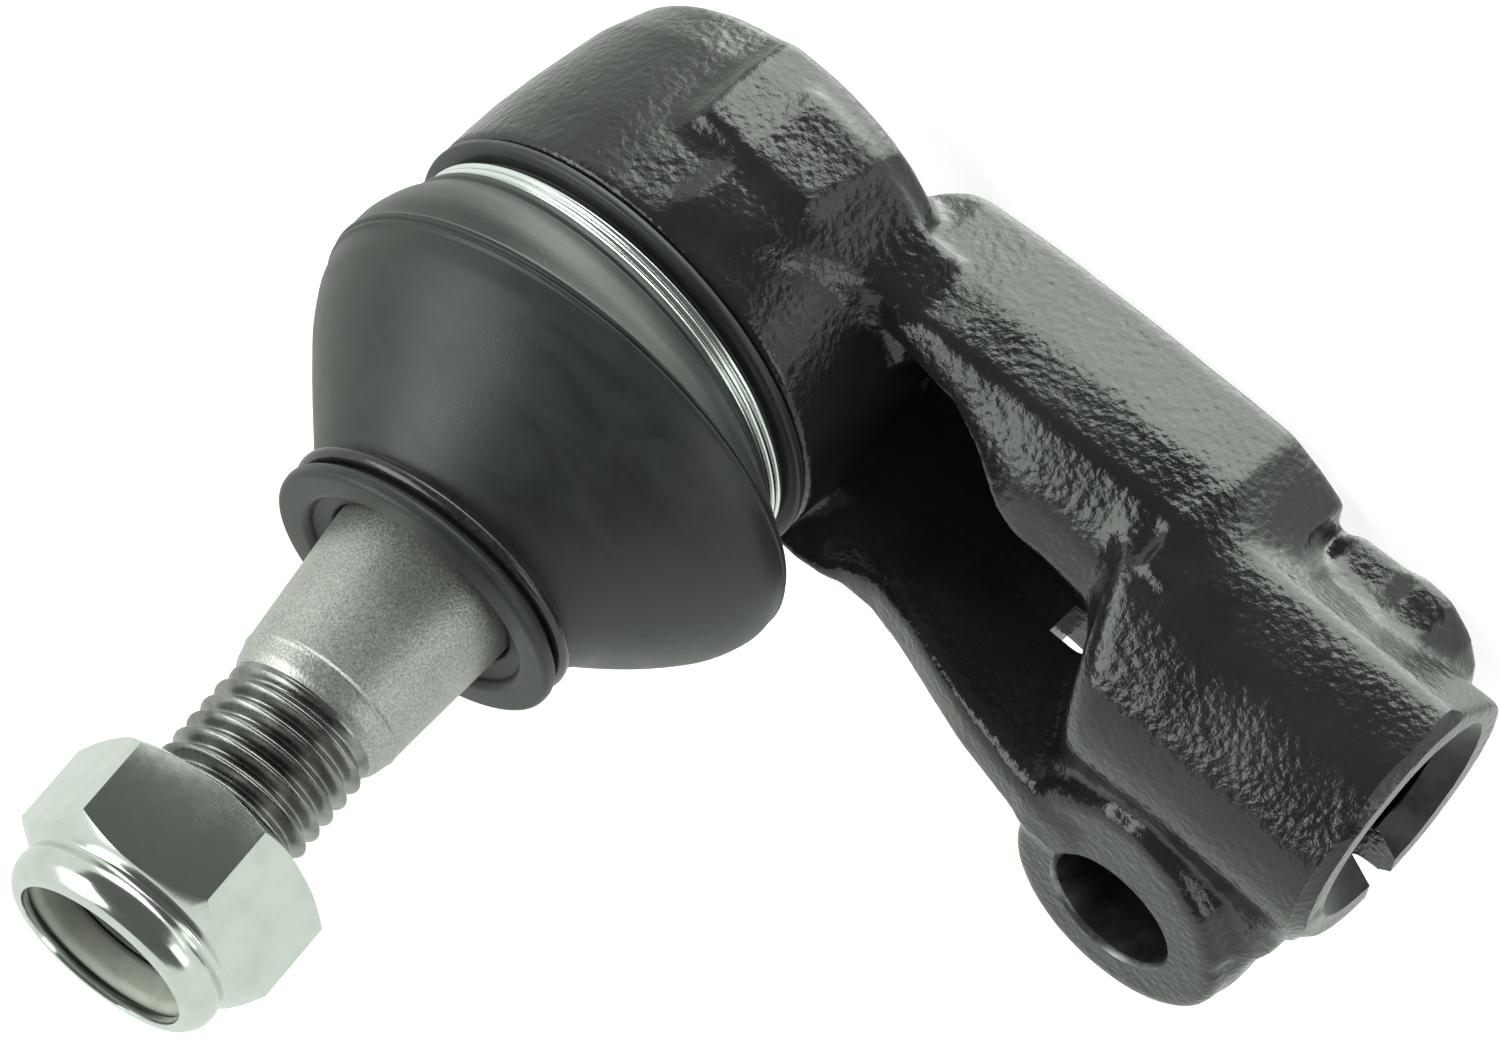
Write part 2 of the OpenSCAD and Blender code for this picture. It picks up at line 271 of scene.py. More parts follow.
def rubber_material():
    m, nt, p = new_material("satin_rubber")
    v = coords(nt)
    fine = noise(nt, v, 4.0, 3.0, 0.6)
    smear = noise(nt, coords(nt, (1, 1, 2.2)), 0.16, 4.0, 0.6, 0.8)
    specks = noise(nt, v, 6.5, 1.0)
    p.inputs["IOR"].default_value = 1.52
    p.inputs["Sheen Weight"].default_value = 0.06
    p.inputs["Sheen Roughness"].default_value = 0.4
    nt.links.new(colours(nt, smear, [(0.3, (0.013, 0.0150, 0.0135)), (0.7, (0.026, 0.0285, 0.026))]),
                 p.inputs["Base Color"])
    nt.links.new(math_node(nt, "ADD", ranged(nt, smear, 0.36, 0.47), ranged(nt, specks, 0, 0.05)),
                 p.inputs["Roughness"])
    b = bump(nt, fine, 0.020, 0.7)
    b = bump(nt, smear, 0.06, 0.4, b)
    nt.links.new(b, p.inputs["Normal"])
    return m


def wire_black_material():
    m, nt, p = new_material("black_coated_wire")
    v = coords(nt)
    fine = noise(nt, v, 3.0, 3.0)
    p.inputs["IOR"].default_value = 1.6
    nt.links.new(colours(nt, fine, [(0.3, (0.012, 0.012, 0.012)), (0.7, (0.03, 0.03, 0.03))]),
                 p.inputs["Base Color"])
    nt.links.new(ranged(nt, fine, 0.14, 0.26), p.inputs["Roughness"])
    nt.links.new(bump(nt, fine, 0.01, 0.5), p.inputs["Normal"])
    return m


def plastic_material(name, low, high, rough):
    m, nt, p = new_material(name)
    v = coords(nt)
    spots = noise(nt, v, 0.8, 4.0)
    p.inputs["Subsurface Weight"].default_value = 0.15
    p.inputs["Subsurface Scale"].default_value = 0.0008
    nt.links.new(colours(nt, spots, [(0.3, low), (0.7, high)]), p.inputs["Base Color"])
    nt.links.new(ranged(nt, spots, rough, rough + 0.1), p.inputs["Roughness"])
    nt.links.new(bump(nt, spots, 0.01, 0.4), p.inputs["Normal"])
    return m


def sheet_material(name, low, high):
    m, nt, p = new_material(name)
    v = coords(nt)
    spots = noise(nt, v, 1.2, 5.0, 0.6)
    p.inputs["Metallic"].default_value = 0.9
    nt.links.new(colours(nt, spots, [(0.3, low), (0.7, high)]), p.inputs["Base Color"])
    nt.links.new(ranged(nt, spots, 0.3, 0.46), p.inputs["Roughness"])
    nt.links.new(bump(nt, spots, 0.02, 0.5), p.inputs["Normal"])
    return m


def floor_material():
    m, nt, p = new_material("pale_floor")
    v = coords(nt)
    broad = noise(nt, v, 0.004, 3.0)
    nt.links.new(colours(nt, broad, [(0.3, (0.86, 0.865, 0.86)), (0.7, (0.88, 0.885, 0.88))]),
                 p.inputs["Base Color"])
    p.inputs["Roughness"].default_value = 0.9
    p.inputs["Specular IOR Level"].default_value = 0.1
    return m


PAINT = paint_material()
MACHINED = machined_material()
OILED = oiled_material()
STUD = stud_material()
THREAD = rolled_thread_material()
ZINC = zinc_material("bright_zinc", (0.70, 0.73, 0.70), 0.12, 0.10, 0.004)
WIRE = zinc_material("bright_zinc_wire", (0.84, 0.88, 0.86), 0.12, 0.04, 0.0006)
RUBBER = rubber_material()
BLACK_WIRE = wire_black_material()
NYLON = plastic_material("off_white_nylon", (0.38, 0.39, 0.35), (0.48, 0.49, 0.44), 0.4)
ACETAL = plastic_material("natural_acetal", (0.78, 0.78, 0.72), (0.88, 0.88, 0.83), 0.32)
COVER = sheet_material("phosphated_sheet", (0.16, 0.165, 0.16), (0.30, 0.305, 0.30))
SPRING = sheet_material("oiled_spring_steel", (0.26, 0.26, 0.25), (0.42, 0.42, 0.41))


# ---------------------------------------------------------------- mesh helpers
def link(name, verts, faces, mats, smooth=True):
    me = bpy.data.meshes.new(name)
    me.from_pydata([tuple(v) for v in verts], [], [tuple(f) for f in faces])
    me.validate()
    ob = bpy.data.objects.new(name, me)
    bpy.context.scene.collection.objects.link(ob)
    for m in mats:
        me.materials.append(m)
    if smooth:
        me.polygons.foreach_set("use_smooth", [True] * len(me.polygons))
    return ob


def grid_faces(rows, cols, wrap_rows, wrap_cols):
    """Quads of a grid of points, row by row."""
    r, c = np.meshgrid(np.arange(rows if wrap_rows else rows - 1),
                       np.arange(cols if wrap_cols else cols - 1), indexing="ij")
    r, c = r.ravel(), c.ravel()
    r2, c2 = (r + 1) % rows, (c + 1) % cols
    return np.stack([r * cols + c, r * cols + c2, r2 * cols + c2, r2 * cols + c], 1)


def rounded(points, radius=0.3, steps=4):
    """A line of (r, z) points with its corners rounded; a third value is the corner's own radius."""
    out = []
    n = len(points)
    for i, p in enumerate(points):
        rad = p[2] if len(p) > 2 else radius
        here = Vector(p[:2])
        if i in (0, n - 1) or rad <= 0:
            out.append(tuple(here))
            continue
        a, b = Vector(points[i - 1][:2]) - here, Vector(points[i + 1][:2]) - here
        cutoff = min(rad, a.length * 0.45, b.length * 0.45)
        a, b = here + a.normalized() * cutoff, here + b.normalized() * cutoff
        for k in range(steps + 1):
            t = k / steps
            out.append(tuple(a * (1 - t) ** 2 + here * 2 * t * (1 - t) + b * t * t))
    return out


def refine(line, step):
    out = [line[0]]
    for a, b in zip(line, line[1:]):
        n = max(1, int(math.hypot(b[0] - a[0], b[1] - a[1]) / step))
        out += [(a[0] + (b[0] - a[0]) * k / n, a[1] + (b[1] - a[1]) * k / n) for k in range(1, n + 1)]
    return out


def revolve(name, line, mat, around=128, loop=True, place=None, warp=None):
    """Turns a line of (r, z) points round the Z axis.

    With loop the line is closed on itself; otherwise an end that lies on the axis gets a fan of faces."""
    pts = np.array(line, float)
    th = np.arange(around) * 2 * np.pi / around
    r, z = pts[:, 0][:, None], pts[:, 1][:, None]
    xyz = np.stack([r * np.cos(th), r * np.sin(th), z + 0 * th], -1)
    if warp is not None:
        xyz = warp(xyz, r, z, th)
    if loop:
        if np.allclose(pts[0], pts[-1]):
            xyz = xyz[:-1]
        rows = len(xyz)
        verts, faces = xyz.reshape(-1, 3), [tuple(f) for f in grid_faces(rows, around, True, True)]
    else:
        first = pts[0, 0] < 1e-6
        last = pts[-1, 0] < 1e-6
        body = xyz[(1 if first else 0):(len(xyz) - 1 if last else len(xyz))]
        rows = len(body)
        verts = body.reshape(-1, 3)
        faces = [tuple(f) for f in grid_faces(rows, around, False, True)]
        extra = []
        if first:
            extra.append(xyz[0, 0])
            c = len(verts)
            faces += [(c, (k + 1) % around, k) for k in range(around)]
        if last:
            extra.append(xyz[-1, 0])
            c = len(verts) + len(extra) - 1
            base = (rows - 1) * around
            faces += [(c, base + k, base + (k + 1) % around) for k in range(around)]
        verts = np.concatenate([verts, np.array(extra)]) if extra else verts
    ob = link(name, verts * MM, faces, [mat])
    fix_normals(ob)
    if place is not None:
        move(ob, place)
    return ob


def move(ob, matrix_mm):
    m = Matrix.Scale(MM, 4) @ matrix_mm @ Matrix.Scale(1 / MM, 4)
    ob.data.transform(m)
    ob.data.update()


def fix_normals(ob):
    bm = bmesh.new()
    bm.from_mesh(ob.data)
    bmesh.ops.recalc_face_normals(bm, faces=bm.faces)
    bm.to_mesh(ob.data)
    bm.free()


def apply_modifiers(ob):
    deps = bpy.context.evaluated_depsgraph_get()
    me = bpy.data.meshes.new_from_object(ob.evaluated_get(deps), depsgraph=deps)
    old = ob.data
    ob.modifiers.clear()
    ob.data = me
    bpy.data.meshes.remove(old)


def boolean(ob, other, op):
    """Cuts or meets ob with other, which is used up."""
    m = ob.modifiers.new("cut", "BOOLEAN")
    m.operation = op
    m.solver = "MANIFOLD"
    m.object = other
    bpy.context.view_layer.update()
    apply_modifiers(ob)
    bpy.data.objects.remove(other)


def sharp_by_angle(ob, degrees):
    bm = bmesh.new()
    bm.from_mesh(ob.data)
    limit = math.radians(degrees)
    for f in bm.faces:
        f.smooth = True
    for e in bm.edges:
        e.smooth = len(e.link_faces) == 2 and e.calc_face_angle(0) < limit
    bm.to_mesh(ob.data)
    bm.free()


# ---------------------------------------------------------------- noise for mesh detail
def lattice(ix, iy, iz, seed):
    h = (ix * 73856093) ^ (iy * 19349663) ^ (iz * 83492791) ^ (seed * 2654435)
    h = (h ^ (h >> 13)) * 1274126177
    h = h & 0x7FFFFFFF
    return ((h ^ (h >> 16)) & 0xFFFF) / 32767.5 - 1.0


def value_noise(p, size, seed):
    q = p / size
    i = np.floor(q).astype(np.int64)
    f = q - i
    f = f * f * f * (f * (f * 6 - 15) + 10)
    out = 0
    for dx in (0, 1):
        for dy in (0, 1):
            for dz in (0, 1):
                w = (f[:, 0] if dx else 1 - f[:, 0]) * (f[:, 1] if dy else 1 - f[:, 1]) * (
                    f[:, 2] if dz else 1 - f[:, 2])
                out = out + w * lattice(i[:, 0] + dx, i[:, 1] + dy, i[:, 2] + dz, seed)
    return out


# ---------------------------------------------------------------- the forging as a distance field
def polygon_field(px, py, pts):
    pts = np.array(pts, float)
    px, py = np.broadcast_arrays(px, py)
    d2 = np.full(px.shape, 1e9)
    inside = np.zeros(px.shape, bool)
    for a, b in zip(pts, np.roll(pts, -1, 0)):
        e = b - a
        wx, wy = px - a[0], py - a[1]
        t = np.clip((wx * e[0] + wy * e[1]) / (e @ e), 0, 1)
        d2 = np.minimum(d2, (wx - t * e[0]) ** 2 + (wy - t * e[1]) ** 2)
        side = e[0] * wy - e[1] * wx
        inside ^= ((a[1] <= py) & (b[1] > py) & (side > 0)) | ((a[1] > py) & (b[1] <= py) & (side < 0))
    return np.where(inside, -1, 1) * np.sqrt(d2)


def slab(d2, c, lo, hi):
    w = np.maximum(lo - c, c - hi)
    return np.minimum(np.maximum(d2, w), 0) + np.hypot(np.maximum(d2, 0), np.maximum(w, 0))


def join(a, b, k):
    h = np.maximum(k - np.abs(a - b), 0) / k
    return np.minimum(a, b) - h * h * k / 4


def meet(a, b, k):
    return -join(-a, -b, k)


def soften(f, passes):
    for _ in range(passes):
        for ax in range(3):
            g = np.moveaxis(f, ax, 0)
            mid = 0.25 * g[:-2] + 0.5 * g[1:-1] + 0.25 * g[2:]
            g[1:-1] = mid
    return f


def forging_field(h):
    xs, ys, zs = np.arange(-19.5, 66.5, h), np.arange(-27.5, 20.5, h), np.arange(-5.5, 26.5, h)
    X, Y, Z = xs[:, None, None], ys[None, :, None], zs[None, None, :]
    XY = X[:, :, 0], Y[:, :, 0]

    # ball housing: a table over radius and height, read back by radius
    rr = np.arange(0, 90, 0.2)
    cup_line = [(0, 0), (14.8, 0), (15.95, 1.0), (17.1, 5), (17.65, 10.5), (17.95, 14), (17.95, 19.2),
                (15.4, 19.2), (15.4, 24.2), (0, 24.2)]
    table = polygon_field(rr[:, None], zs[None, :], cup_line)
    R = np.hypot(X, Y)[:, :, 0]
    cup = np.stack([np.interp(R, rr, table[:, k]) for k in range(len(zs))], 2)

    # arm: a drafted lower face, an upright face over it and a bevel up to the crest; behind the
    # crest the top falls into the pocket
    front = np.interp(X, [4, 9.8, 14.4, 20.2, 29, 38, 41.8, 44.5, 49],
                      [6.5, 9.4, 11.4, 12.1, 12.4, 12.4, 12.2, 10.8, 7.5])
    lower = (Y - front) * 0.975 - (Z - 4.3) * 0.22
    face = Y - front
    band = (face + Z - 8.9) * 0.707
    crest_y = np.interp(X, [8, 13, 18, 23, 26, 29, 32, 40], [10.6, 10.6, 10.0, 9.6, 8.2, 5.6, 4.6, 4.0])
    crest = np.interp(X, [8, 13, 18, 23, 26, 29, 31, 34, 38, 42],
                      [10, 10.2, 10.7, 11.1, 12.0, 13.1, 13.5, 13.4, 13.7, 16])
    floor = np.interp(X, [12, 18, 26, 34, 40], [1.5, 1.5, 3.5, 5.5, 8.0])
    reach = np.interp(X, [18, 30], [4.5, 6.5])
    behind = np.clip((crest_y - Y) / reach, 0, 1)
    fall = behind * behind * (3 - 2 * behind)
    top = crest - 0.2 * np.maximum(Y - crest_y, 0) - (crest - floor) * fall
    arm = meet(meet(lower, face, 0.2), band, 0.4)
    arm = meet(arm, (Z - top) * 0.75, 0.9)
    under = np.interp(X, [9.5, 11.0, 12.6, 60], [0.8, -2.2, FLOOR_Z, FLOOR_Z])
    arm = meet(arm, under - Z, 1.4)
    arm = np.maximum(arm, np.maximum(2 - X, X - 47))
    arm = np.maximum(arm, -13.5 - Y)

    # root of the arm, which climbs the wall of the housing
    root_top = np.interp(X, [3, 6.6, 9.6, 12.2, 16], [15.6, 14.6, 12.2, 10.0, 9.4])
    root_line = [(0, 5), (3.0, 17.75), (6.6, 16.85), (9.6, 15.35), (12.6, 13.4), (16.5, 12.3), (18, 5)]
    root = slab(polygon_field(*XY, root_line)[:, :, None], Z, 3.6, 30)
    root = meet(root, (Z - root_top) * 0.75, 1.0)
    arm = join(arm, root, 1.2)

    # drafted flat on the wall of the housing beside the root
    skirt_line = [(-2, 5), (-1.3, 18.7), (7.4, 18.6), (8.9, 15.6), (10.6, 13.6), (12.6, 12.2), (14, 5)]
    skirt = slab(polygon_field(*XY, skirt_line)[:, :, None], Z, 1.6, 10.4)
    flat = (X * 0.15 + (Y - 18.05) * 0.95 - (Z - 7.6) * 0.2) / 0.98
    skirt = meet(skirt, flat, 0.3)
    arm = join(arm, skirt, 1.3)

    # socket tube with four faint facets, each at an angle round it, a distance and a blend
    ry, rz = Y, Z - SOCKET_Z
    tube = np.hypot(ry, rz) - TUBE_R
    for ang, depth, blend in ((-47, 1.5, 0.25), (43, 0.30, 0.5), (3, 0.15, 0.5), (-72, 0.7, 0.8)):
        a = math.radians(ang)
        tube = meet(tube, ry * math.cos(a) + rz * math.sin(a) - (TUBE_R - depth), blend)
    lean = 0.46 * np.maximum(Z - 11.5, -1.5)
    tube = np.maximum(tube, X - MOUTH_X)
    tube = meet(tube, 38.2 + lean - X, 2.0)
    swell = np.hypot(ry, rz) - np.interp(X, [41, 45, 49], [12.0, 11.2, 10.0])
    swell = np.maximum(np.maximum(swell, np.maximum(41 - X, X - 49)), Z - 12.5)
    tube = join(tube, swell, 1.0)

    # web
    web_line = [(6, 1), (46, 1), (46, 21.6), (41.4, 21.5), (37.6, 20.6), (34.6, 19.9), (30.8, 18.7),
                (26.7, 17.2), (23.1, 16.3), (20.2, 16.3), (16.8, 17.7), (14, 19.5), (6, 19.5)]
    web = slab(polygon_field(X[:, 0, :], Z[:, 0, :], web_line)[:, None, :], Y, -13.6, -9.0)
    bevel_x = np.array([10, 16.5, 18.1, 22.8, 26.7, 32.7, 37.7, 41])
    bevel_z = np.array([12.5, 13.2, 13.0, 15.2, 17.0, 19.0, 19.8, 20.6])
    bevel = (Z - np.interp(X, bevel_x, bevel_z)) * 0.72 + (Y + 9.0) * 0.69
    web = meet(web, bevel, 0.7)

    # ears: flat pads with a rounded shoulder, and the lower ear with its nib
    disc = np.hypot(XY[0] - EAR[0] - 0.2, XY[1] - EAR[1]) - 9.2
    pad_line = [(41.6, -14), (41.7, -9.6), (43.7, -6.9), (47.7, -4.1), (51, -3.9), (54.2, -5.2),
                (57.4, -8.2), (59.4, -12.6), (58.8, -17)]
    pad = np.minimum(disc, polygon_field(*XY, pad_line))
    pad = slab((pad + 1.0)[:, :, None], Z, SOCKET_Z, EAR_TOP - 1.0) - 1.0
    body_line = [(41.4, -14), (41.4, -9), (43, -2), (63.3, -2), (61.6, -11), (59.4, -17)]
    body = np.minimum(disc, polygon_field(*XY, body_line))
    body = slab((body + 0.6)[:, :, None], Z, SOCKET_Z, 18.2) - 0.6
    upper = join(pad, body, 1.6)
    low_line = [(41.4, -14), (42, -5), (46, 2.2), (48.8, 5.2), (52.6, 5.4), (54.4, 6.2), (57.0, 5.8),
                (59.2, 3.6), (60.3, 0.8), (61, -8), (59.4, -17)]
    low = np.minimum(disc, polygon_field(*XY, low_line))
    low = slab((low + 0.8)[:, :, None], Z, FLOOR_Z + 0.8, SOCKET_Z - 0.8) - 0.8

    # all together: a wide fillet where the arm leaves the housing, a narrow one in the pocket
    arm_fillet = np.interp(Y, [9.0, 14.0], [1.0, 3.0])
    solid = join(meet(cup, flat, 0.4), arm, arm_fillet)
    solid = join(solid, web, 2.2)
    solid = join(solid, tube, 1.2)
    solid = join(solid, upper, 1.3)
    solid = join(solid, low, 1.2)
    # room for the boot over the housing, and the neck that the boot sits on
    room = np.maximum(np.hypot(X, Y) - 18.25, 19.25 - Z)
    neck = np.maximum(np.hypot(X, Y) - 15.4, np.abs(Z - 19.2) - 5.0)
    solid = np.minimum(np.maximum(solid, -room), neck)
    return soften(np.ascontiguousarray(solid), 2), (xs[0], ys[0], zs[0])


def forging_blank(h):
    field, origin = forging_field(h)
    far = 5.0
    grid = openvdb.FloatGrid(far)
    grid.copyFromArray(np.clip(field, -far, far).astype(np.float32))
    grid.transform = openvdb.createLinearTransform(voxelSize=1.0)
    pts, tris, quads = grid.convertToPolygons(isovalue=0.0, adaptivity=0.0)
    pts = pts * h + np.array(origin)
    faces = [tuple(q) for q in quads] + [tuple(t) for t in tris]
    ob = link("forging", pts, faces, [PAINT, MACHINED, OILED])
    fix_normals(ob)
    # uneven forged skin: broad lumps and a coarse peel, moved along the normals
    me = ob.data
    co = np.zeros(len(me.vertices) * 3)
    me.vertices.foreach_get("co", co)
    co = co.reshape(-1, 3)
    no = np.zeros(len(me.vertices) * 3)
    me.vertex_normals.foreach_get("vector", no)
    no = no.reshape(-1, 3)
    push = 0.06 * value_noise(co, 5.1, 3) + 0.014 * value_noise(co, 1.7, 5)
    push += 0.014 * value_noise(co, 0.8, 7)
    keep = np.clip((co[:, 2] - FLOOR_Z) / 0.6, 0, 1)
    co += no * (push * keep - 0.03)[:, None]
    co[:, 2] = np.maximum(co[:, 2], FLOOR_Z)
    me.vertices.foreach_set("co", (co * MM).ravel())
    me.update()
    return ob


def thread_cutter():
    """The threaded bore of the socket with its countersink, along X."""
    around, per_turn = 96, 12
    length, minor_r, depth, chamfer = 23.0, 6.2, 0.85, 2.2
    zs = np.arange(0, length + 1.2, PITCH / per_turn)
    th = np.arange(around) * 2 * np.pi / around
    phase = (zs[:, None] / PITCH - th[None, :] / (2 * np.pi)) % 1.0
    tooth = np.clip(np.abs(phase - 0.5) * 2.6 - 0.25, 0, 1)
    fade = np.clip((zs - 0.8) / 3, 0, 1)[:, None]
    r = minor_r + depth * tooth * fade
    sink = minor_r + np.clip(zs - (length - chamfer), 0, None)[:, None]
    r = np.maximum(r, sink)
    xyz = np.stack([zs[:, None] + 0 * r, r * np.cos(th), r * np.sin(th)], -1).reshape(-1, 3)
    xyz[:, 0] += MOUTH_X - length
    xyz[:, 2] += SOCKET_Z
    rows = len(zs)
    faces = [tuple(f) for f in grid_faces(rows, around, False, True)]
    tip = np.array([[MOUTH_X - length - 2.5, 0, SOCKET_Z], [xyz[-1][0], 0, SOCKET_Z]])
    n = len(xyz)
    faces += [(n, (k + 1) % around, k) for k in range(around)]
    base = (rows - 1) * around
    faces += [(n + 1, base + k, base + (k + 1) % around) for k in range(around)]
    ob = link("bore_cutter", np.concatenate([xyz, tip]) * MM, faces, [OILED])
    fix_normals(ob)
    return ob


def bolt_cutter(name, r0, r1, z0, z1, mat):
    """A round cutter on the axis of the pinch bolt, r0 wide at z0 and r1 at z1."""
    line = [(0, z0), (r0, z0), (r1, z1), (0, z1)]
    return revolve(name, line, mat, 96, False, Matrix.Translation((*EAR, 0)))


def box_mesh(name, lo, hi, mat):
    pts = [(lo[0], lo[2]), (hi[0], lo[2]), (hi[0], hi[2]), (lo[0], hi[2])]
    n = len(pts)
    verts = [(x * MM, y * MM, z * MM) for y in (lo[1], hi[1]) for x, z in pts]
    faces = [tuple(range(n)), tuple(range(2 * n - 1, n - 1, -1))]
    faces += [(k, (k + 1) % n, n + (k + 1) % n, n + k) for k in range(n)]
    ob = link(name, verts, faces, [mat], smooth=False)
    fix_normals(ob)
    return ob


def make_forging():
    ob = forging_blank(0.3)
    # machined openings
    cavity = [(0, -1), (12.2, -1), (12.2, 0.9), (13.65, 0.9), (13.65, 2.6), (12.55, 2.6), (12.55, 21.0),
              (10.6, 21.0), (10.6, 21.05), (12.2, 24.2), (12.7, 25.5), (0, 25.5)]
    boolean(ob, revolve("cavity", cavity, MACHINED, 128, False), "DIFFERENCE")
    boolean(ob, thread_cutter(), "DIFFERENCE")
    slit = box_mesh("slit", (34.6, -30, SOCKET_Z - 1.4), (70, 0.0, SOCKET_Z + 1.4), PAINT)
    boolean(ob, slit, "DIFFERENCE")
    boolean(ob, bolt_cutter("bolt_hole", 5.1, 5.1, -6, 30, OILED), "DIFFERENCE")
    boolean(ob, bolt_cutter("bolt_sink", 4.9, 6.3, EAR_TOP - 0.75, EAR_TOP + 1.25, MACHINED), "DIFFERENCE")
    # turned mouth: a flat face with a small outer chamfer
    ring = revolve("mouth_cutter", [(10.2, 0), (14.5, 0), (14.5, -2.4), (11.0, -0.85)], PAINT, 96, True,
                   Matrix.Translation((MOUTH_X, 0, SOCKET_Z)) @ Matrix.Rotation(math.pi / 2, 4, "Y"))
    boolean(ob, ring, "DIFFERENCE")
    sharp_by_angle(ob, 38)
    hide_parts("forged_housing")
    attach(ob, "housing")
    return ob


# ---------------------------------------------------------------- parts in the housing
def make_cover():
    line = rounded([(0, 0), (7.6, 0, 0.5), (8.2, 0.35, 0.4), (10.6, 0.9, 0.6), (13.55, 0.9, 0.1),
                    (13.55, 2.55, 0.2), (9.4, 2.55, 0.6), (7.0, 1.8, 0.5), (0, 1.8)])
    dimple = []
    for r, z in refine(line, 0.6):
        ring = 0.16 * math.exp(-((r - 5.2) / 0.35) ** 2) if z < 0.5 else 0
        dimple.append((r, z + ring))
    ob = revolve("closing_cover", dimple, COVER, 128, False)
    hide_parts("closing_plate")
    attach(ob, "housing")


def dress_inner_parts():
    for node, mat in (("preload_washer", SPRING), ("lower_race", ACETAL), ("upper_race", ACETAL)):
        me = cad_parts[node].data
        me.materials.clear()
        me.materials.append(mat)


# ---------------------------------------------------------------- stud
def make_stud():
    ball_r, neck_r = 10, 5.8
    taper_end_r = 8 - (53.9 - 35.6) / 12
    profile = rounded([(neck_r, 22.5), (neck_r, 29.6, 1.5), (8.0, 33.5, 1.0), (8.0, 35.6, 0.3),
                       (taper_end_r - 0.01, 53.5, 0.05), (taper_end_r + 0.05, 53.75, 0.05),
                       (taper_end_r - 0.06, 54.0, 0.05), (6.1, 55.2, 0.25), (5.75, 55.7, 0.2)], 0.3, 5)
    low = [(ball_r * math.sin(a), BALL_Z - ball_r * math.cos(a))
           for a in np.linspace(0, math.pi - math.asin(neck_r / ball_r), 40)]
    low[0] = (0, BALL_Z - ball_r)
    smooth_part = low + refine(profile, 0.8)[1:]
    around = 144
    th = np.arange(around) * 2 * np.pi / around
    thread_z, top_z = 55.8, 73.6
    zs = np.arange(thread_z, top_z, PITCH / 16)
    phase = (zs[:, None] / PITCH - th[None, :] / (2 * np.pi)) % 1.0
    tooth = np.clip(np.abs(phase - 0.5) * 2, 0, 1)
    tooth = tooth * tooth * (3 - 2 * tooth)
    depth = 0.90 * np.clip((zs - thread_z) / 1.2, 0, 1)[:, None] ** 0.7
    r = 5.72 + 0.26 * np.clip(zs - thread_z, 0, 1)[:, None] - depth * (1 - tooth)
    tip = 5.98 - np.clip(zs - 72.4, 0, None)[:, None] * 0.95
    r = np.minimum(r, tip)
    rings = [np.stack([p[0] * np.cos(th), p[0] * np.sin(th), p[1] + 0 * th], -1) for p in smooth_part[1:]]
    rings += [np.stack([r[k] * np.cos(th), r[k] * np.sin(th), zs[k] + 0 * th], -1) for k in range(len(zs))]
    end_r = float(r[-1].min())
    for rr, z in ((end_r * 0.97, top_z), (2.4, top_z), (2.0, 73.35)):
        rings.append(np.stack([rr * np.cos(th), rr * np.sin(th), z + 0 * th], -1))
    xyz = np.concatenate(rings)
    rows = len(rings)
    faces = [tuple(f) for f in grid_faces(rows, around, False, True)]
    n = len(xyz)
    xyz = np.concatenate([xyz, [[0, 0, BALL_Z - ball_r], [0, 0, 73.0]]])
    faces += [(n, (k + 1) % around, k) for k in range(around)]
    base = (rows - 1) * around
    faces += [(n + 1, base + k, base + (k + 1) % around) for k in range(around)]
    ob = link("stud_steel", xyz * MM, faces, [STUD, THREAD])
    for f in ob.data.polygons:
        f.material_index = int(f.center.z > 55.6 * MM)
    fix_normals(ob)
    sharp_by_angle(ob, 50)
    move(ob, TILTED)
    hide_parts("ball_stud")
    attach(ob, "stud")


# ---------------------------------------------------------------- boot
def boot_warp(xyz, r, z, th):
    """The boot is square on the housing at its band and follows the stud from its widest circle on."""
    square_to, tilted_from = 21.95, 28.2
    t = np.clip((z - square_to) / (tilted_from - square_to), 0, 1)
    b = TILT * t * t * (3 - 2 * t)
    side = np.maximum(np.cos(th - TILT_DIR), 0)
    bulge = 1.28 * side * side * np.maximum(0, 1 - ((z - 32) / 6) ** 2)
    x = (r + bulge) * np.cos(th - TILT_DIR)
    y = (r + bulge) * np.sin(th - TILT_DIR)
    h = z - BALL_Z
    tx = x * np.cos(b) + h * np.sin(b)
    return np.stack([
        tx * math.cos(TILT_DIR) - y * math.sin(TILT_DIR),
        tx * math.sin(TILT_DIR) + y * math.cos(TILT_DIR),
        BALL_Z + h * np.cos(b) - x * np.sin(b)], -1)


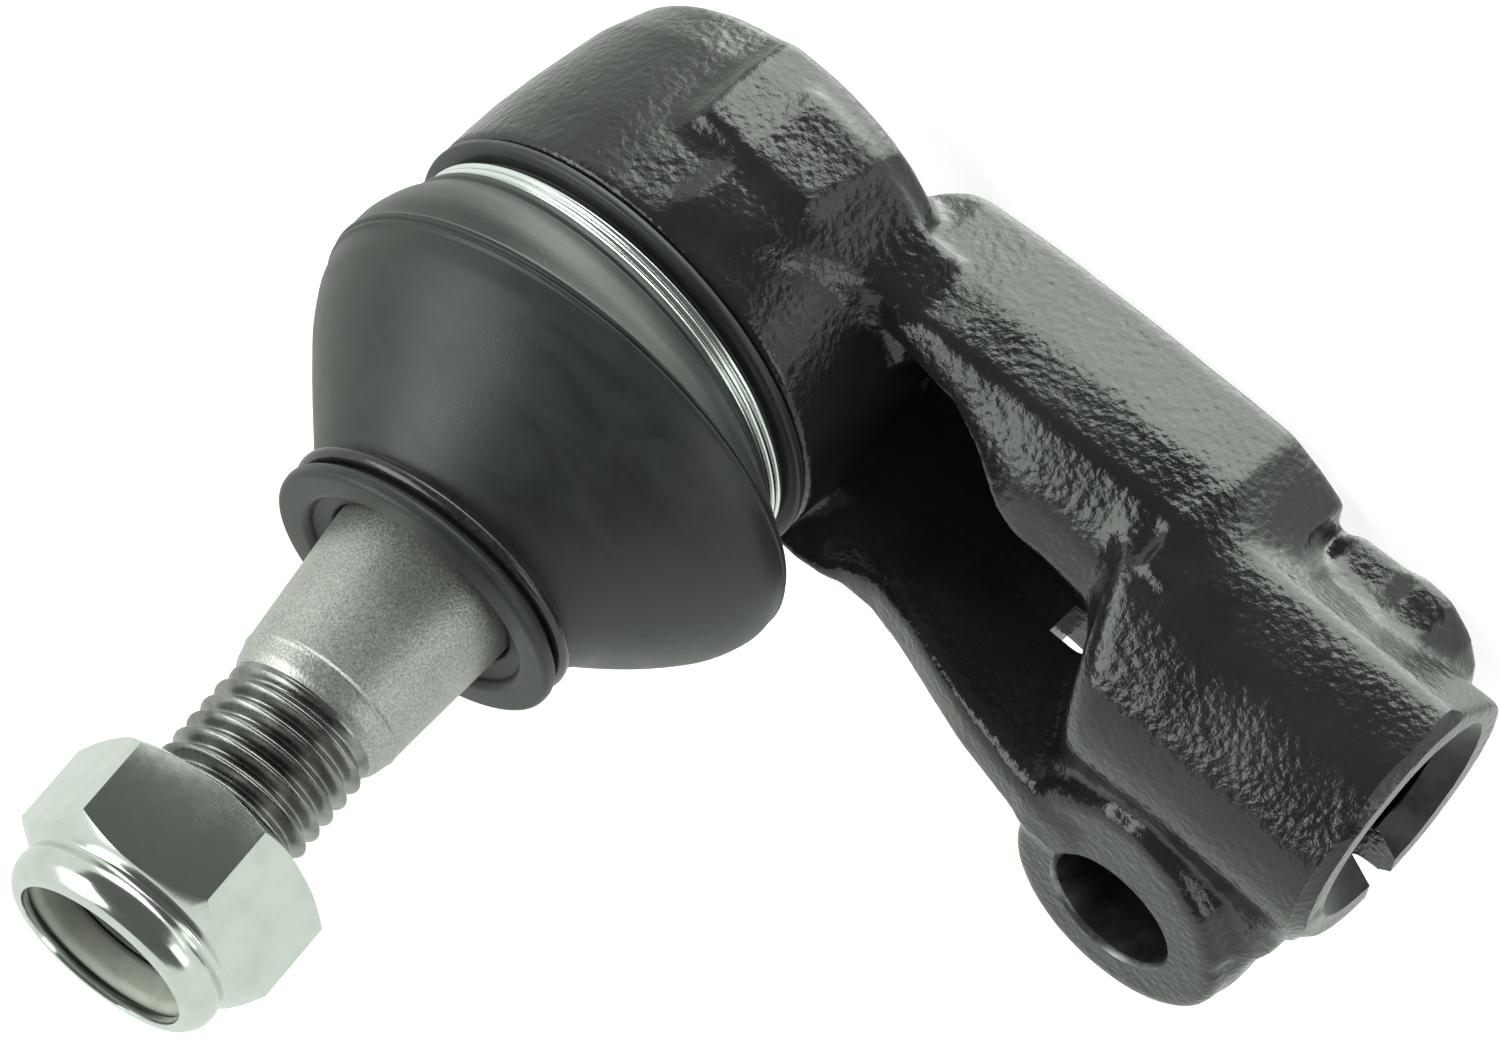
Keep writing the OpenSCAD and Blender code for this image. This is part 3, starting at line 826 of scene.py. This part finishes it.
def make_boot():
    # up the outside from the seat, over the double mould seam to the collar, and down the inside
    outside = [
        (15.5, 19.3), (17.85, 19.3, 0.25), (17.95, 20.0, 0.3), (17.3, 20.2, 0.2), (16.35, 20.25, 0.15),
        (16.35, 22.15, 0.15), (17.15, 22.2, 0.25), (17.35, 22.75, 0.2), (17.25, 23.0, 0.15),
        (18.3, 24.1, 0.9), (19.35, 25.6, 0.9), (19.66, 26.75, 0.3), (19.82, 26.86, 0.06),
        (19.80, 27.08, 0.05), (19.62, 27.18, 0.05), (19.78, 27.30, 0.05), (19.76, 27.50, 0.06),
        (19.60, 27.64, 0.2), (19.25, 29.0, 1.0), (17.95, 31.4, 2.2), (15.2, 35.0, 2.0), (11.7, 39.25, 1.0),
        (10.75, 40.3, 0.35), (10.6, 40.6, 0.2), (10.6, 41.9, 0.25), (11.1, 42.15, 0.3), (11.75, 42.6, 0.4),
        (11.65, 43.35, 0.3), (11.35, 43.6, 0.2), (9.35, 43.6, 0.25), (9.05, 43.2, 0.2), (8.95, 42.8, 0.25),
        (7.6, 42.5, 0.25), (7.62, 41.5, 0.3), (8.2, 40.8, 0.3), (8.2, 37.4, 0.3), (9.3, 38.9, 0.5),
        (13.9, 35.0, 1.0), (16.7, 30.8, 1.5), (18.3, 27.2, 1.0), (16.95, 25.0, 0.6), (16.2, 23.4, 0.4),
        (15.5, 21.9, 0.2), (15.5, 19.3)]
    line = rounded(outside, 0.3, 4)
    line = refine(line, 0.55)
    ob = revolve("boot_rubber", line, RUBBER, 192, True, None, boot_warp)
    sharp_by_angle(ob, 60)
    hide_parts("dust_boot")
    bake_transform(ob)


def tube_along(name, pts, radius, mat, around=14, closed=True):
    """A round wire along points; closed joins its ends, otherwise they are rounded off."""
    pts = np.array(pts, float)
    n = len(pts)
    nxt, prv = np.roll(pts, -1, 0), np.roll(pts, 1, 0)
    if not closed:
        nxt[-1], prv[0] = pts[-1], pts[0]
    tan = nxt - prv
    tan /= np.linalg.norm(tan, axis=1)[:, None]
    side = pts * np.array([1, 1, 0])
    side -= (side * tan).sum(1)[:, None] * tan
    side /= np.linalg.norm(side, axis=1)[:, None]
    up = np.cross(tan, side)
    a = np.arange(around) * 2 * np.pi / around
    scale = np.ones(n)
    if not closed:
        scale[0] = scale[-1] = 0.75
    ring = (np.cos(a)[None, :, None] * side[:, None, :] + np.sin(a)[None, :, None] * up[:, None, :])
    xyz = pts[:, None, :] + ring * (radius * scale)[:, None, None]
    faces = [tuple(f) for f in grid_faces(n, around, closed, True)]
    if not closed:
        faces += [tuple(range(around))[::-1], tuple(range((n - 1) * around, n * around))]
    ob = link(name, xyz.reshape(-1, 3) * MM, faces, [mat])
    fix_normals(ob)
    return ob


def make_rings():
    wire_r, coil_r, low_z, rise = 0.3, 16.72, 20.62, 0.585
    turns, per_turn, short_of_full = 3, 180, 4
    start_at = math.radians(200)
    pts = []
    for k in range(turns * per_turn - short_of_full):
        t = k / per_turn
        a = start_at + t * 2 * math.pi
        pts.append((coil_r * math.cos(a), coil_r * math.sin(a), low_z + t * rise))
    ob = tube_along("clamp_wire", pts, wire_r, WIRE, 14, False)
    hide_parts("boot_clamp_ring")
    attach(ob, "ball_seat")

    neck_r = 11.15
    pts = [(neck_r * math.cos(a), neck_r * math.sin(a), 41.25) for a in np.arange(180) * 2 * math.pi / 180]
    ob = tube_along("neck_wire", pts, 0.55, BLACK_WIRE, 18, True)
    move(ob, TILTED)
    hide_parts("boot_neck_ring")
    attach(ob, "boot_neck")


# ---------------------------------------------------------------- lock nut
def make_nut():
    z0, h, flat_r, bore_r = 66.0, 11.6, 9.0, 6.05
    corner = flat_r / math.cos(math.radians(30))
    turns = [math.radians(60 * k - 3) for k in range(6)]
    verts = [(corner * math.cos(a) * MM, corner * math.sin(a) * MM, z * MM) for z in (-0.5, 13) for a in turns]
    faces = [tuple(range(6))[::-1], tuple(range(6, 12))]
    faces += [(k, (k + 1) % 6, 6 + (k + 1) % 6, 6 + k) for k in range(6)]
    hexa = link("lock_nut", verts, faces, [ZINC], smooth=False)
    fix_normals(hexa)
    body = rounded([(0, 0), (8.75, 0, 0.2), (9.2, 0.12, 0.15), (corner + 0.15, 0.95, 0.1),
                    (corner + 0.15, 6.9, 0.1), (8.85, 8.12, 0.12), (8.12, 8.5, 0.3), (8.15, 8.9, 0.4),
                    (8.42, 9.6, 0.7), (8.3, 10.7, 0.9), (7.6, 11.5, 0.6), (6.9, h, 0.3), (0, h)], 0.3, 5)
    boolean(hexa, revolve("nut_body_turned", body, ZINC, 160, False), "INTERSECT")
    bore = [(0, -1), (6.9, -1), (6.9, 0.05), (bore_r, 0.9), (bore_r, 7.95), (7.15, 7.95), (7.15, 10.72),
            (6.9, 10.9), (6.62, 11.0), (6.62, 11.3), (6.95, 12.5), (0, 12.5)]
    boolean(hexa, revolve("nut_bore", bore, ZINC, 160, False), "DIFFERENCE")
    m = hexa.modifiers.new("edge", "BEVEL")
    m.width = 0.26 * MM
    m.segments = 3
    m.limit_method = "ANGLE"
    m.angle_limit = math.radians(40)
    m.harden_normals = False
    bpy.context.view_layer.update()
    apply_modifiers(hexa)
    sharp_by_angle(hexa, 32)
    move(hexa, Matrix.Translation((0, 0, z0)))
    move(hexa, TILTED)
    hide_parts("nut_body")
    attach(hexa, "nut")

    line = rounded([(bore_r, 74.15), (7.1, 74.15, 0.2), (7.1, 76.65, 0.3), (6.45, 76.65, 0.35),
                    (bore_r, 76.2, 0.3), (bore_r, 74.15)], 0.3, 5)
    ring = revolve("nylon_ring", refine(line, 0.4), NYLON, 144, True, TILTED)
    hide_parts("nylon_insert")
    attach(ring, "nut_carrier")


# ---------------------------------------------------------------- stage
LAMP_TINT = (0.93, 1.0, 0.93)
LAMP_TARGET = Vector((24, 0, 26))


def area_light(name, aim_from, distance, size, power):
    """A soft box at a distance in metres from the middle of the part, in the direction aim_from."""
    li = bpy.data.lights.new(name, "AREA")
    li.shape = "RECTANGLE"
    li.size, li.size_y = size
    li.energy = power
    li.color = LAMP_TINT
    ob = bpy.data.objects.new(name, li)
    d = Vector(aim_from).normalized()
    at = LAMP_TARGET * MM + d * distance
    ob.matrix_world = Matrix.Translation(at) @ d.to_track_quat("Z", "Y").to_matrix().to_4x4()
    bpy.context.scene.collection.objects.link(ob)
    return ob


def make_stage():
    # floor: a wide pale bowl in metres, flat in the middle, just under the lowest point of the part
    z = cad_box[0][2] - 0.0003
    line = [(0, 0), (0.2, 0), (0.5, 0), (1.6, 0), (2.1, 0.15), (2.5, 0.7), (2.6, 1.5), (2.6, 3.0)]
    around = 48
    verts, faces = [(0, 0, z)], []
    for r, up in line[1:]:
        verts += [(r * math.cos(t), r * math.sin(t), z + up)
                  for t in np.arange(around) * 2 * math.pi / around]
    faces += [(0, 1 + k, 1 + (k + 1) % around) for k in range(around)]
    faces += [tuple(int(i) + 1 for i in f) for f in grid_faces(len(line) - 1, around, False, True)]
    floor = link("floor", verts, faces, [floor_material()])
    fix_normals(floor)
    # reflections and bounced light come from the studio around, so the floor stays plain
    floor.visible_glossy = False
    floor.visible_diffuse = False
    floor.visible_shadow = False

    R, U, B = CAM_RIGHT, CAM_UP, CAM_BACK
    area_light("left_box", -0.86 * R + 0.10 * U + 0.50 * B, 0.45, (0.26, 0.42), 1.3)
    area_light("right_box", 0.88 * R - 0.05 * U + 0.47 * B, 0.5, (0.16, 0.34), 0.1)
    area_light("low_box", 0.69 * R - 0.45 * U + 0.56 * B, 0.5, (0.20, 0.16), 0.25)

    # from the camera, on dull colour only: it opens the shadows and leaves no glare
    fill = area_light("front_fill", 0.10 * R + 0.25 * U + 0.96 * B, 0.6, (0.4, 0.4), 1.4)
    fill.visible_glossy = False

    sun = bpy.data.lights.new("floor_wash", "SUN")
    sun.energy = 2.9
    sun.angle = math.radians(20)
    ob = bpy.data.objects.new("floor_wash", sun)
    ob.matrix_world = Vector((-0.15, 0.25, 0.95)).normalized().to_track_quat("Z", "Y").to_matrix().to_4x4()
    bpy.context.scene.collection.objects.link(ob)
    lit = bpy.data.collections.new("lit_by_floor_wash")
    lit.objects.link(floor)
    ob.light_linking.receiver_collection = lit
    ob.light_linking.blocker_collection = lit

    # studio: white behind the part, brightest above it, dark on the camera's side
    w = bpy.data.worlds.new("studio")
    bpy.context.scene.world = w
    w.use_nodes = True
    nt = w.node_tree
    bg = nt.nodes["Background"]
    tc = nt.nodes.new("ShaderNodeTexCoord")

    def along(axis, lo, hi, to_lo, to_hi):
        dot = nt.nodes.new("ShaderNodeVectorMath")
        dot.operation = "DOT_PRODUCT"
        dot.inputs[1].default_value = axis
        nt.links.new(tc.outputs["Generated"], dot.inputs[0])
        mr = nt.nodes.new("ShaderNodeMapRange")
        mr.interpolation_type = "SMOOTHSTEP"
        for key, v in (("From Min", lo), ("From Max", hi), ("To Min", to_lo), ("To Max", to_hi)):
            mr.inputs[key].default_value = v
        nt.links.new(dot.outputs["Value"], mr.inputs["Value"])
        return mr.outputs["Result"]

    behind = along(B, 0.36, 0.45, 1.0, 0.0)
    above = math_node(nt, "MULTIPLY", along(U, 0.35, 0.80, 0.0, 4.2),
                      along(R, -0.12, 0.25, 0.0, 1.0))
    strength = math_node(nt, "MULTIPLY", behind, math_node(nt, "ADD", above, 0.8))
    strength = math_node(nt, "ADD", strength, 0.13)
    bg.inputs["Color"].default_value = (0.93, 1.0, 0.92, 1)
    nt.links.new(strength, bg.inputs["Strength"])
    bpy.context.scene.view_settings.view_transform = "Standard"


make_camera()
make_forging()
make_cover()
dress_inner_parts()
make_stud()
make_boot()
make_rings()
make_nut()
make_stage()
